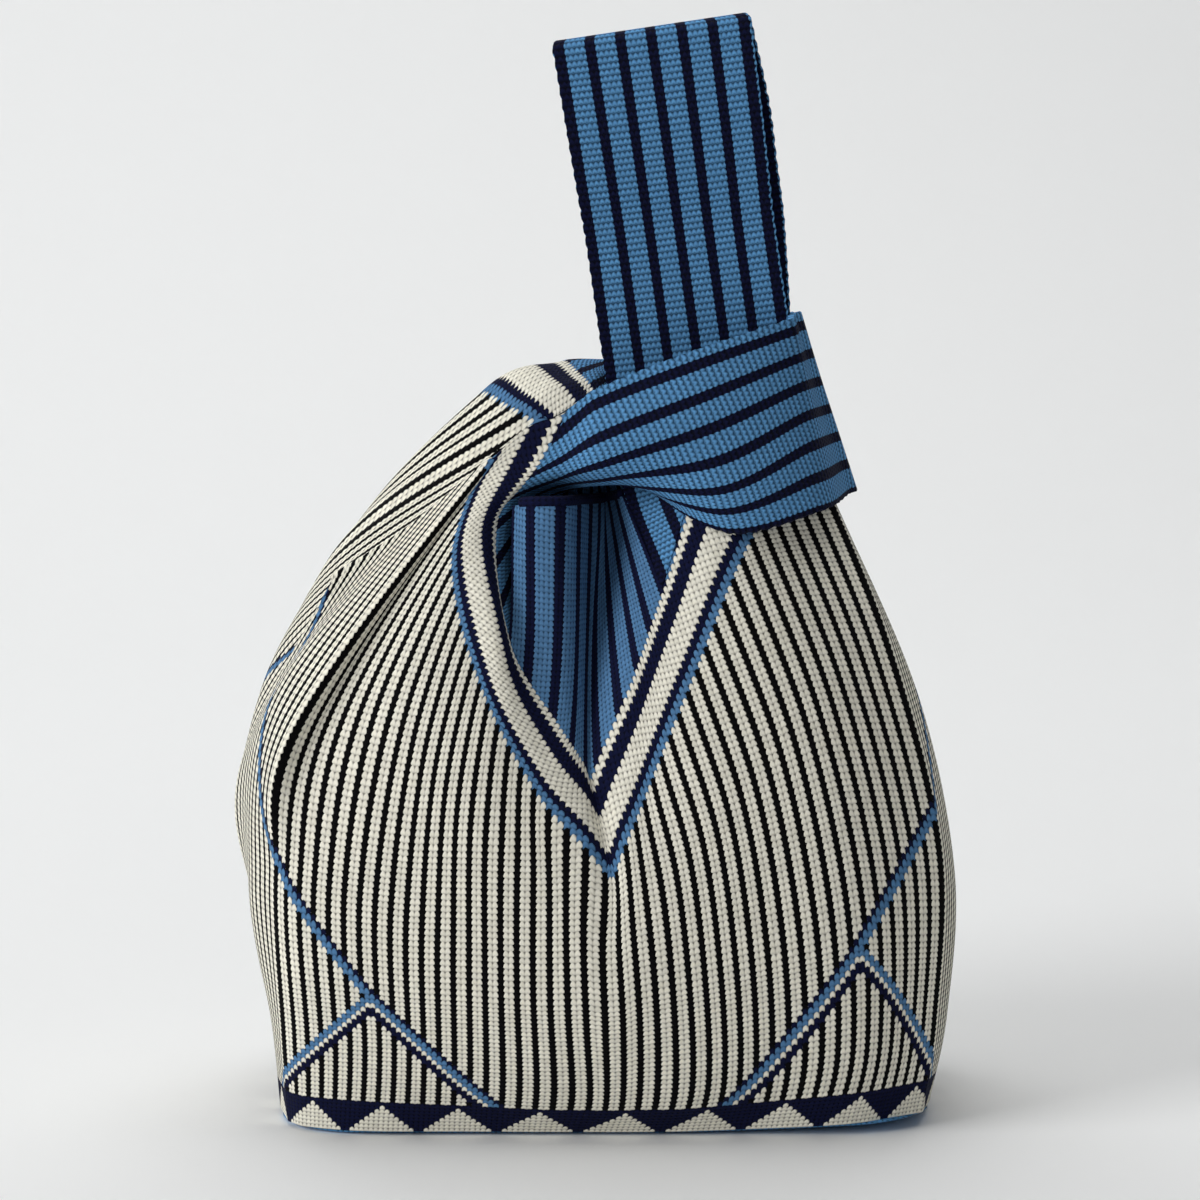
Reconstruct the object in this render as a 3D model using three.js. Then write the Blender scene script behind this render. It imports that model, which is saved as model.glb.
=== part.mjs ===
// A knitted knot bag, standing and filled: two body panels on a flat base, a stepped V border and
// a yoke on each panel, and a short handle loop that a long handle loop is drawn up through.
// Millimetres, +Z up. The origin is the middle of the base's underside, and the front faces -Y.
import * as THREE from 'three';

// Driving sizes
const HALF_WIDTH = 106; // base, middle to side
const HALF_DEPTH = 56; // base, middle to front
const BASE_CORNER = 26;
const FOOT_EASE = 0.05; // the cloth is gathered at the base's corners, and lies smooth along its front
const KNOT_HEIGHT = 227; // where the front and back borders meet on the left shoulder
const CLOTH = 2.6; // double-bed knit
const GAP = 0.3; // between pieces that touch
const BORDER_GAP = 0.9; // along the wales, where a slanting edge makes it narrower
const SHOULDER_GAP = 2.4; // and where the short handle turns off the border
const FOLD_FOOT_GAP = 2.4; // added at the border's foot, where it is folded over the left shoulder
const FOLD_HEAD_GAP = 5; // and at its head
const FOLD_WALES = [70, 88]; // where the fold starts and is whole, across the cloth
const SEAM_EDGE = 1.2; // each panel stops this far short of the side seam's middle
const SEAM_RADIUS = 1.5;
const SEAM_SET_IN = 3; // base seam, in from the wall
const SEAM_LIFT = 1; // side seams, in from the wall
const MOUTH_HEM_RADIUS = 1.8;
const MOUTH_HEM_END = 11; // the hem stops this far short of the handles' inner edges
const HEM_BAND_HEIGHT = 12;
const STRAP_WIDTH = 61;
const STRAP_LEAN = THREE.MathUtils.degToRad(8.4); // the long handle leans left
const STRAP_ROOT = new THREE.Vector2(1, 237); // x and z of its inner edge, level with the short handle
const HINGE_RISE = 45; // fold line of the long handle, above the root
const LONG_HANDLE_RISE = 68; // fold line to the top of the loop
const LONG_LOOP_ROOM = 13; // widest hand room between its strands
const LONG_LOOP_TOP = 7; // room under its top fold
const STRAND_SLIT = 0.4; // between the strands at the fold line
const SLIDE_GAP = 0.8; // between the sliding part of the short handle and its root
const YOKE_EDGE = 7; // the yoke stops this far short of the handles' inner edges
const SHORT_FRONT_ACROSS = -4; // along the strap's width, where the sliding part of the short handle starts
const SHORT_BACK_ACROSS = 4;
const LONG_ROOT_DROP = 4; // the long handle's outer edge leaves the border this far below its root
const LONG_ROOT_DEPTH = 7; // its strands, in front of and behind the middle, at its root
const SEAM_FOOT_ROW = 0.35; // side seams start above the base seam
const SEAM_TOP_ROW = 3.1; // and end below the armpit
const SHORT_LOOP_SIDE_ROOM = 1.5; // from the long handle's outer edge to the short handle's fold

// Flat cloth of one panel, measured in knitted width from the middle and in length from the hem
const PANEL_HALF = 174;
const STRAP_OUTER = 114;
const STRAP_INNER = 47;
const BORDER_TIP = 95;
const BORDER_SLOPE = 1.27;
const ARMPIT = 178;

// The guide points below are drawn on a template of these sizes and stretched to the driving sizes
const TEMPLATE = { halfWidth: 106, halfDepth: 56, knotHeight: 227 };
const ROW_SHARES = [0, 0.15, 0.4, 0.7, 1]; // share of a wale's length at rows 0 to 4

// Rows 1 to 4 of each wale, keyed by its place across the cloth: low, belly, chest, border foot
const FRONT_BODY = {
  '-174': [[-108, 0, 26], [-117, 4, 66], [-121, 6, 108], [-89, -8, 174]],
  '-144': [[-108, -28, 30], [-115, -24, 76], [-108, -22, 134], [-64, -17, 191]],
  '-114': [[-103, -52, 33], [-105, -51, 84], [-99, -49, 131], [-37, -27, 214]],
  '-104': [[-96, -57, 32], [-98, -56, 84], [-89, -43, 134], [-43, -29, 203]],
  '-80': [[-75, -62, 30], [-76, -63, 80], [-67, -54, 134], [-48, -42, 180]],
  '-47': [[-45, -65, 24], [-45, -69, 63], [-44, -66, 107], [-38, -56, 144]],
  '-22': [[-20, -66, 19], [-21, -71, 50], [-21, -70, 84], [-21, -63, 113]],
  0: [[3, -64, 14], [3, -71, 38], [2, -72, 63], [2, -67, 87]],
  22: [[26, -66, 19], [25, -71, 50], [21, -70, 86], [14, -62, 116]],
  47: [[50, -65, 25], [48, -69, 64], [41, -66, 107], [27, -57, 148]],
  80: [[82, -61, 32], [79, -63, 82], [66, -57, 137], [45, -44, 190]],
  114: [[106, -46, 36], [107, -46, 92], [90, -38, 158], [65, -16, 220]],
  144: [[111, -27, 34], [113, -24, 80], [101, -18, 137], [76, -10, 195]],
  174: [[111, 0, 30], [115, 0, 66], [108, 0, 112], [88, -4, 169]],
};
const FRONT_HEAD = {
  '-114': [-12, -23, 230], '-104': [-20, -28, 214], '-80': [-35, -36, 196], '-47': [-30, -50, 158],
  '-22': [-14, -54, 132], 0: [-5, -55, 117], 22: [10, -52, 147], 47: [20, -44, 175], 80: [36, -30, 218],
  114: [63, -15, 235],
};
const FRONT_MOUTH = {
  '-47': [-29, -30, 200], '-36': [-23, -36, 201], '-24': [-13, -34, 201], '-12': [-8, -18, 200],
  0: [-4, -6, 199], 22: [1, 0, 199], 47: [7, -16, 202],
};
// The back is the front mirrored, apart from the left shoulder, which stands higher there
const BACK_SHOULDER = {
  '-174': [[-108, 0, 26], [-117, 4, 66], [-121, 6, 108], [-89, -2, 173]],
  '-144': [[-109, 28, 30], [-116, 28, 76], [-112, 20, 140], [-64, -9, 189]],
  '-114': [[-105, 48, 34], [-108, 48, 92], [-97, 24, 168], [-26, -10, 217]],
  '-104': [[-103, 55, 32], [-105, 55, 88], [-93, 36, 174], [-28, -4, 230]],
  '-80': [[-81, 62, 30], [-84, 62, 82], [-81, 46, 174], [-41, 16, 231]],
  '-47': [[-47, 65, 24], [-48, 69, 65], [-52, 63, 122], [-42, 50, 176]],
};
const BACK_SHOULDER_HEAD = {
  '-114': [-5, -8, 231], '-104': [-7, 0, 238], '-80': [-15, 20, 241], '-47': [-27, 46, 198],
};
const BACK_MOUTH = {
  '-47': [-27, 30, 208], '-22': [-16, 25, 207], 0: [-6, 22, 206], 22: [-1, 21, 206], 47: [7, 21, 205],
};
// Short handle from its start plane to its fold: place across the strap, depth, height along the strap,
// for the outer edge, two lines between, and the inner edge
const SHORT_FRONT_START = [[-21, 0], [-29, -10], [-33, -24], [-16, -27]];
const SHORT_BACK_START = [[16, 2], [24, 5], [33, -9], [32, -24]];
const SHORT_FRONT_MIDDLE = [[-24, 8], [-34, -9], [-42, -28], [-50, -48]];
const SHORT_BACK_MIDDLE = [[18, 9], [31, -4], [42, -20], [48, -39]];
const SHORT_FRONT_SIDE = [[-20, 13], [-29, -8], [-36, -27], [-45, -47]];
const SHORT_BACK_SIDE = [[17, 13], [26, -7], [33, -26], [43, -45]];
const SHORT_FOLD_HEIGHT = [14, -6, -26, -46];
const SHORT_FOLD_FLARE = [0, 3, 6.5, 10]; // the fold leans out towards the inner edge
const SHORT_FOLD_HALF = 5; // depth from the fold to where its strands run straight
const SHORT_ROOT_RUN = [2.5, 4.5, 8, 12]; // straight run of each line before the start plane
const SHORT_FRONT_TUCK = [0, 1, 12, 18]; // how far back the front root is tucked on its way there

const navy = 0x1a1c34;
const blue = 0x3e78af;
const cream = 0xd4cfbf;

function knit(colour) {
  return new THREE.MeshStandardMaterial({ color: colour, roughness: 0.9, metalness: 0 });
}

// Smooth curve through values at knots
function throughPoints(knots, values, at) {
  const last = knots.length - 1;
  let i = 0;
  while (i < last - 1 && at > knots[i + 1]) i += 1;
  const slope = (k) => {
    const a = Math.max(k - 1, 0);
    const b = Math.min(k + 1, last);
    return values[b].clone().sub(values[a]).divideScalar(knots[b] - knots[a]);
  };
  const span = knots[i + 1] - knots[i];
  const t = (at - knots[i]) / span;
  return values[i].clone().multiplyScalar(2 * t ** 3 - 3 * t ** 2 + 1)
    .addScaledVector(slope(i), (t ** 3 - 2 * t ** 2 + t) * span)
    .addScaledVector(values[i + 1], 3 * t ** 2 - 2 * t ** 3)
    .addScaledVector(slope(i + 1), (t ** 3 - t ** 2) * span);
}

// The same curve with its points spaced by their distance; at counts points, so 1.5 is between two of them
function alongPoints(points, at) {
  const knots = [0];
  points.slice(1).forEach((point, k) => knots.push(knots[k] + point.distanceTo(points[k])));
  const k = Math.min(Math.floor(at), points.length - 2);
  return throughPoints(knots, points, THREE.MathUtils.lerp(knots[k], knots[k + 1], at - k));
}

function fromTemplate([x, y, z]) {
  return new THREE.Vector3(
    (x * HALF_WIDTH) / TEMPLATE.halfWidth,
    (y * HALF_DEPTH) / TEMPLATE.halfDepth,
    (z * KNOT_HEIGHT) / TEMPLATE.knotHeight,
  );
}

const mirrored = ([x, y, z]) => [x, -y, z];

// The strap's own frame: place across its width, depth, and height along it
const strapOrigin = fromTemplate([STRAP_ROOT.x, 0, STRAP_ROOT.y]);
const strapAcross = new THREE.Vector3(Math.cos(STRAP_LEAN), 0, Math.sin(STRAP_LEAN));
const strapAlong = new THREE.Vector3(-Math.sin(STRAP_LEAN), 0, Math.cos(STRAP_LEAN));
function onStrap(across, depth, along) {
  return strapOrigin.clone().addScaledVector(strapAcross, across).addScaledVector(strapAlong, along)
    .setY(depth);
}

// Base outline, a rounded rectangle, walked from the front middle towards +X by share of its half length
function baseOutline(share, inset = 0) {
  const width = HALF_WIDTH - inset;
  const depth = HALF_DEPTH - inset;
  const corner = BASE_CORNER - inset;
  const flat = width - corner;
  const bend = (Math.PI / 2) * corner;
  const side = depth - corner;
  const walked = Math.abs(share) * (flat + bend + side);
  let x = walked;
  let y = -depth;
  if (walked > flat + bend) {
    x = width;
    y = -(side - (walked - flat - bend));
  } else if (walked > flat) {
    const turn = (walked - flat) / corner;
    x = flat + corner * Math.sin(turn);
    y = -side - corner * Math.cos(turn);
  }
  return new THREE.Vector2(Math.sign(share) * x, y);
}

// Length of the wale at u, from the hem to the border or to the armhole edge
function waleLength(u) {
  const place = Math.abs(u);
  const border = BORDER_TIP + BORDER_SLOPE * Math.min(place, STRAP_OUTER);
  if (place <= STRAP_OUTER) return border;
  return THREE.MathUtils.mapLinear(place, STRAP_OUTER, PANEL_HALF, border, ARMPIT);
}

const WALL_FOOT = 1.8 * CLOTH;
const SLOPE_STEP = 0.5; // reach, in width, of a slope measured on the cloth
const BORDER_FOOT = ROW_SHARES.length - 1; // rows of the panel's guide points
const BORDER_HEAD = BORDER_FOOT + 1;

// One panel: its wales, split at the two folds that run up to the handles
function panel(body, head, mouth, facing) {
  const wales = Object.keys(body).map(Number).sort((a, b) => a - b);
  const columns = new Map(wales.map((u) => {
    const share = u / PANEL_HALF;
    const foot = baseOutline(share + FOOT_EASE * Math.sin(Math.PI * share));
    const points = [new THREE.Vector3(foot.x, -facing * foot.y, WALL_FOOT)];
    points.push(...body[u].map(fromTemplate));
    if (head[u]) points.push(fromTemplate(head[u]));
    return [u, points];
  }));
  const groups = [
    wales.filter((u) => u <= -STRAP_OUTER),
    wales.filter((u) => Math.abs(u) <= STRAP_OUTER),
    wales.filter((u) => u >= STRAP_OUTER),
  ];
  const at = (u, row) => {
    const group = groups[u < -STRAP_OUTER ? 0 : u > STRAP_OUTER ? 2 : 1];
    const along = group.map((wale) => {
      const points = columns.get(wale);
      return throughPoints(points.map((point, k) => k), points, Math.min(row, points.length - 1));
    });
    return throughPoints(group, along, u);
  };
  const mouthWales = Object.keys(mouth).map(Number).sort((a, b) => a - b);
  const mouthAt = (u) => throughPoints(mouthWales, mouthWales.map((wale) => fromTemplate(mouth[wale])), u);
  const lastRow = (u) => (Math.abs(u) > STRAP_OUTER ? BORDER_FOOT : BORDER_HEAD);
  return { at, mouthAt, lastRow, facing };
}

function mirroredTable(table) {
  return Object.fromEntries(Object.entries(table).map(([u, value]) => (
    [u, Array.isArray(value[0]) ? value.map(mirrored) : mirrored(value)])));
}

const front = panel(FRONT_BODY, FRONT_HEAD, FRONT_MOUTH, -1);
const back = panel(
  { ...mirroredTable(FRONT_BODY), ...BACK_SHOULDER },
  { ...mirroredTable(FRONT_HEAD), ...BACK_SHOULDER_HEAD },
  BACK_MOUTH,
  1,
);

// A point of the whole wall: past a side seam it goes on round the other panel
function wallPoint(side, u, row) {
  if (Math.abs(u) <= PANEL_HALF) return side.at(u, row);
  const other = side === front ? back : front;
  return other.at(Math.sign(u) * 2 * PANEL_HALF - u, row);
}

function rowAt(u, length) {
  const share = THREE.MathUtils.clamp(length / waleLength(u), 0, 1);
  let i = 0;
  while (i < BORDER_FOOT - 1 && share > ROW_SHARES[i + 1]) i += 1;
  return i + (share - ROW_SHARES[i]) / (ROW_SHARES[i + 1] - ROW_SHARES[i]);
}

// A closed solid of the cloth's thickness about a grid of points; grid[i][j] runs across, then up
function clothSolid(grid, facing) {
  const across = grid.length;
  const up = grid[0].length;
  const normal = (i, j) => {
    const a = grid[Math.min(i + 1, across - 1)][j].clone().sub(grid[Math.max(i - 1, 0)][j]);
    const b = grid[i][Math.min(j + 1, up - 1)].clone().sub(grid[i][Math.max(j - 1, 0)]);
    return a.cross(b).normalize().multiplyScalar(-facing);
  };
  return clothBetween(grid, grid.map((column, i) => column.map((point, j) => normal(i, j))), facing);
}

function clothBetween(grid, normals, facing) {
  const across = grid.length;
  const up = grid[0].length;
  const position = [];
  for (const half of [CLOTH / 2, -CLOTH / 2]) {
    grid.forEach((column, i) => column.forEach((point, j) => {
      position.push(...point.clone().addScaledVector(normals[i][j], half).toArray());
    }));
  }
  const outer = (i, j) => i * up + j;
  const inner = (i, j) => across * up + outer(i, j);
  const index = [];
  const quad = (a, b, c, d) => {
    if (facing < 0) index.push(a, b, c, a, c, d);
    else index.push(a, c, b, a, d, c);
  };
  for (let i = 0; i < across - 1; i += 1) {
    for (let j = 0; j < up - 1; j += 1) {
      quad(outer(i, j), outer(i + 1, j), outer(i + 1, j + 1), outer(i, j + 1));
      quad(inner(i, j), inner(i, j + 1), inner(i + 1, j + 1), inner(i + 1, j));
    }
    quad(inner(i, 0), inner(i + 1, 0), outer(i + 1, 0), outer(i, 0));
    quad(outer(i, up - 1), outer(i + 1, up - 1), inner(i + 1, up - 1), inner(i, up - 1));
  }
  for (let j = 0; j < up - 1; j += 1) {
    quad(outer(0, j), outer(0, j + 1), inner(0, j + 1), inner(0, j));
    quad(inner(across - 1, j), inner(across - 1, j + 1), outer(across - 1, j + 1), outer(across - 1, j));
  }
  return solid(position, index);
}

function solid(position, index) {
  const geometry = new THREE.BufferGeometry();
  geometry.setAttribute('position', new THREE.Float32BufferAttribute(position, 3));
  geometry.setIndex(index);
  return geometry;
}

function steps(low, high, count) {
  return Array.from({ length: count + 1 }, (unused, k) => low + ((high - low) * k) / count);
}

// Outward normal of the wall; its slopes stay within the wales given by reach
function wallNormal(side, u, row, reach = Infinity) {
  const left = wallPoint(side, Math.max(u - SLOPE_STEP, -reach), row);
  const right = wallPoint(side, Math.min(u + SLOPE_STEP, reach), row);
  const rowStep = SLOPE_STEP / 20;
  const below = wallPoint(side, u, Math.max(row - rowStep, 0));
  const above = wallPoint(side, u, Math.min(row + rowStep, side.lastRow(u)));
  return right.sub(left).cross(above.sub(below)).normalize().multiplyScalar(-side.facing);
}

// A patch of the wall between two rows of each wale
function wallPatch(side, wales, lowRow, highRow, rowsUp, reach) {
  const rowsAt = (u) => steps(lowRow(u), highRow(u), rowsUp);
  const grid = wales.map((u) => rowsAt(u).map((row) => wallPoint(side, u, row)));
  const normals = wales.map((u) => rowsAt(u).map((row) => wallNormal(side, u, row, reach)));
  return clothBetween(grid, normals, side.facing);
}

// A round seam or rolled hem along points, with flat ends unless it closes on itself
function roll(points, radius, closed = false, sides = 8) {
  const count = points.length;
  const position = [];
  const index = [];
  const upward = new THREE.Vector3(0, 0, 1);
  points.forEach((point, k) => {
    const before = closed ? points[(k - 1 + count) % count] : points[Math.max(k - 1, 0)];
    const after = closed ? points[(k + 1) % count] : points[Math.min(k + 1, count - 1)];
    const along = after.clone().sub(before).normalize();
    const reference = Math.abs(along.z) > 0.8 ? new THREE.Vector3(1, 0, 0) : upward;
    const out = reference.clone().cross(along).normalize();
    const lift = along.clone().cross(out);
    for (let s = 0; s < sides; s += 1) {
      const turn = (2 * Math.PI * s) / sides;
      position.push(...point.clone().addScaledVector(out, radius * Math.cos(turn))
        .addScaledVector(lift, radius * Math.sin(turn)).toArray());
    }
  });
  const rings = closed ? count : count - 1;
  for (let k = 0; k < rings; k += 1) {
    for (let s = 0; s < sides; s += 1) {
      const a = k * sides + s;
      const b = k * sides + ((s + 1) % sides);
      const c = ((k + 1) % count) * sides + ((s + 1) % sides);
      const d = ((k + 1) % count) * sides + s;
      index.push(a, b, c, a, c, d);
    }
  }
  if (!closed) {
    for (let s = 1; s < sides - 1; s += 1) {
      index.push(0, s + 1, s);
      const end = (count - 1) * sides;
      index.push(end, end + s, end + s + 1);
    }
  }
  return solid(position, index);
}

const bag = new THREE.Group();
function addPiece(name, geometry, colour) {
  const mesh = new THREE.Mesh(geometry, knit(colour));
  mesh.name = name;
  bag.add(mesh);
  return mesh;
}

// Base: a flat knitted panel, and the linked seam inside its edge
function basePanel() {
  const outline = new THREE.Shape();
  const reach = CLOTH / 2;
  const width = HALF_WIDTH + reach;
  const depth = HALF_DEPTH + reach;
  const corner = BASE_CORNER + reach;
  outline.moveTo(-width + corner, -depth);
  outline.lineTo(width - corner, -depth);
  outline.absarc(width - corner, -depth + corner, corner, -Math.PI / 2, 0);
  outline.lineTo(width, depth - corner);
  outline.absarc(width - corner, depth - corner, corner, 0, Math.PI / 2);
  outline.lineTo(-width + corner, depth);
  outline.absarc(-width + corner, depth - corner, corner, Math.PI / 2, Math.PI);
  outline.lineTo(-width, -depth + corner);
  outline.absarc(-width + corner, -depth + corner, corner, Math.PI, 1.5 * Math.PI);
  return new THREE.ExtrudeGeometry(outline, { depth: CLOTH, bevelEnabled: false, curveSegments: 8 });
}
addPiece('base_panel', basePanel(), blue);

const seamInset = CLOTH / 2 + SEAM_RADIUS + SEAM_SET_IN;
const seamLine = [];
for (const facing of [1, -1]) {
  for (const share of steps(-1, 1, 40).slice(0, -1)) {
    const point = baseOutline(share * facing, seamInset);
    seamLine.push(new THREE.Vector3(point.x, point.y * facing, CLOTH + GAP + SEAM_RADIUS));
  }
}
addPiece('base_seam', roll(seamLine, SEAM_RADIUS, true), navy);

// Wales where the patches are cut into facets, closer together at the folds and in the border's V
const CENTRE_WALES = [-114, -109, -104, -97, -89, -80, -69, -58, -47, -39, -30, -22, -14, -7, 0];
const RIGHT_WALES = [7, 14, 22, 30, 39, 47, 58, 69, 80, 92, 103, 114];
const SIDE_WALES = [121, 129, 136, 144, 152, 159, 167];
const BODY_WALES = [
  -PANEL_HALF + SEAM_EDGE, ...SIDE_WALES.map((u) => -u).reverse(),
  ...CENTRE_WALES, ...RIGHT_WALES, ...SIDE_WALES, PANEL_HALF - SEAM_EDGE,
];

const BORDER_WALES = [...CENTRE_WALES, ...RIGHT_WALES];
const YOKE_WALES = BORDER_WALES.filter((u) => Math.abs(u) <= STRAP_INNER);
const SHORT_WALES = BORDER_WALES.filter((u) => u <= -STRAP_INNER);
const LONG_WALES = BORDER_WALES.filter((u) => u >= STRAP_INNER);

// Share of the border's height that a gap takes at u
function borderShare(side, u, gap) {
  return gap / side.at(u, BORDER_FOOT).distanceTo(side.at(u, BORDER_HEAD));
}

// Cloth that goes on from the border's head: each wale passes through the points that ahead gives for it
function clothAhead(side, wales, ahead, rowsUp, edge = GAP / 2, gapAt = () => BORDER_GAP) {
  const low = wales[0] + edge;
  const high = wales[wales.length - 1] - edge;
  const at = (wale, knot) => {
    const u = THREE.MathUtils.clamp(wale, low, high);
    const points = [side.at(u, BORDER_FOOT), side.at(u, BORDER_HEAD), ...ahead(u)];
    return alongPoints(points, knot);
  };
  const lastKnot = 1 + ahead(low).length;
  const knotStep = SLOPE_STEP / 20;
  const normal = (wale, knot) => {
    const left = at(wale - SLOPE_STEP, knot);
    const right = at(wale + SLOPE_STEP, knot);
    const above = at(wale, Math.min(knot + knotStep, lastKnot));
    return right.sub(left).cross(above.sub(at(wale, knot - knotStep))).normalize().multiplyScalar(-side.facing);
  };
  const insides = wales.map((wale) => THREE.MathUtils.clamp(wale, low, high));
  const knotsAt = (wale) => steps(1 + gapAt(wale) / at(wale, 1).distanceTo(at(wale, 2)), lastKnot, rowsUp);
  const grid = insides.map((wale) => knotsAt(wale).map((knot) => at(wale, knot)));
  const normals = insides.map((wale) => knotsAt(wale).map((knot, k) => (
    k === 0 ? wallNormal(side, wale, BORDER_HEAD, STRAP_OUTER) : normal(wale, knot))));
  return clothBetween(grid, normals, side.facing);
}

// A point between the outer and the inner edge of a handle, from the four lines that are given
function acrossHandle(lines, u) {
  const share = (STRAP_OUTER - Math.abs(u)) / (STRAP_OUTER - STRAP_INNER);
  return throughPoints([0, 1, 2, 3], lines, 3 * share);
}

const strandDepth = STRAND_SLIT / 2 + CLOTH / 2;
const hingeRadius = STRAND_SLIT / 2 + CLOTH;
const rootTop = HINGE_RISE - hingeRadius - GAP;

for (const [label, side] of [['front', front], ['back', back]]) {
  const hemRow = (u) => rowAt(u, HEM_BAND_HEIGHT);
  const panelFoot = (u) => rowAt(u, HEM_BAND_HEIGHT + GAP);
  const panelHead = (u) => rowAt(u, waleLength(u) - GAP);
  addPiece(`${label}_hem_band`, wallPatch(side, BODY_WALES, () => 0, hemRow, 1), navy);
  addPiece(`${label}_panel`, wallPatch(side, BODY_WALES, panelFoot, panelHead, 10), cream);
  const folded = (u) => THREE.MathUtils.smoothstep(-u, ...FOLD_WALES);
  const footGap = (u) => BORDER_GAP / 2 + FOLD_FOOT_GAP * folded(u);
  const bandFoot = (u) => BORDER_FOOT + borderShare(side, u, footGap(u));
  const bandHead = (u) => BORDER_HEAD - borderShare(side, u, BORDER_GAP);
  addPiece(`${label}_neck_band`, wallPatch(side, BORDER_WALES, bandFoot, bandHead, 2, STRAP_OUTER), cream);

  addPiece(`${label}_yoke`, clothAhead(side, YOKE_WALES, (u) => [side.mouthAt(u)], 5, YOKE_EDGE), blue);
  const hemAbove = MOUTH_HEM_RADIUS + 2 * GAP;
  const mouth = steps(-STRAP_INNER + MOUTH_HEM_END, STRAP_INNER - MOUTH_HEM_END, 14).map((u) => {
    const point = side.mouthAt(u);
    return point.setZ(point.z + hemAbove);
  });
  addPiece(`${label}_mouth_hem`, roll(mouth, MOUTH_HEM_RADIUS), navy);

  const shortStart = side === front ? SHORT_FRONT_START : SHORT_BACK_START;
  const shortAcross = side === front ? SHORT_FRONT_ACROSS : SHORT_BACK_ACROSS;
  const shortLine = (run) => shortStart.map(([depth, along], k) => (
    onStrap(shortAcross - SLIDE_GAP - run[k], depth, along)));
  const tuckLine = SHORT_FRONT_TUCK.map((depth) => new THREE.Vector3(0, depth, 0));
  const shortAhead = (u) => {
    const run = acrossHandle(shortLine(SHORT_ROOT_RUN), u);
    const start = acrossHandle(shortLine([0, 0, 0, 0]), u);
    if (side === back) return [run, start];
    const tuck = side.at(u, BORDER_HEAD).lerp(run, 0.5).add(acrossHandle(tuckLine, u));
    return [tuck, run, start];
  };
  const headGap = (u) => SHOULDER_GAP + FOLD_HEAD_GAP * folded(u);
  addPiece(`short_handle_${label}_root`, clothAhead(side, SHORT_WALES, shortAhead, 8, GAP / 2, headGap), blue);

  const longAhead = (u) => {
    const across = (STRAP_WIDTH * (u - STRAP_INNER)) / (STRAP_OUTER - STRAP_INNER);
    const lower = side.mouthAt(STRAP_INNER);
    const outer = onStrap(STRAP_WIDTH, lower.y, -LONG_ROOT_DROP);
    return [
      lower.clone().lerp(outer, across / STRAP_WIDTH),
      onStrap(across, side.facing * LONG_ROOT_DEPTH, 0),
      onStrap(across, side.facing * strandDepth, rootTop),
    ];
  };
  addPiece(`long_handle_${label}_root`, clothAhead(side, LONG_WALES, longAhead, 9), blue);
}

// Side seams, linked on the inside of the wall from the base to below the armpit
for (const [label, u] of [['left', -PANEL_HALF], ['right', PANEL_HALF]]) {
  const line = steps(SEAM_FOOT_ROW, SEAM_TOP_ROW, 12).map((row) => (
    wallPoint(front, u, row).addScaledVector(wallNormal(front, u, row), -CLOTH / 2 - SEAM_LIFT - SEAM_RADIUS)));
  addPiece(`${label}_side_seam`, roll(line, SEAM_RADIUS), navy);
}

// Short handle: one strap from its front start, round the fold on the right, to its back start
function shortHandleLoop() {
  const rows = [
    SHORT_FRONT_START.map(([depth, along]) => onStrap(SHORT_FRONT_ACROSS, depth, along)),
    SHORT_FRONT_MIDDLE.map(([depth, along]) => onStrap(STRAP_WIDTH / 2, depth, along)),
    SHORT_FRONT_SIDE.map(([depth, along]) => onStrap(STRAP_WIDTH, depth, along)),
    ...[-1, 0, 1].map((turn) => SHORT_FOLD_HEIGHT.map((along, k) => onStrap(
      STRAP_WIDTH + SHORT_LOOP_SIDE_ROOM + SHORT_FOLD_FLARE[k] + (turn ? 0 : SHORT_FOLD_HALF / 2),
      turn * SHORT_FOLD_HALF,
      along,
    ))),
    SHORT_BACK_SIDE.map(([depth, along]) => onStrap(STRAP_WIDTH, depth, along)),
    SHORT_BACK_MIDDLE.map(([depth, along]) => onStrap(STRAP_WIDTH / 2, depth, along)),
    SHORT_BACK_START.map(([depth, along]) => onStrap(SHORT_BACK_ACROSS, depth, along)),
  ];
  const knots = rows.map((row, k) => k);
  const grid = steps(0, rows.length - 1, 40).map((knot) => {
    const lines = [0, 1, 2, 3].map((k) => throughPoints(knots, rows.map((row) => row[k]), knot));
    return steps(0, 3, 8).map((place) => throughPoints([0, 1, 2, 3], lines, place)).reverse();
  });
  return clothSolid(grid, -1);
}
addPiece('short_handle_loop', shortHandleLoop(), blue);

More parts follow.
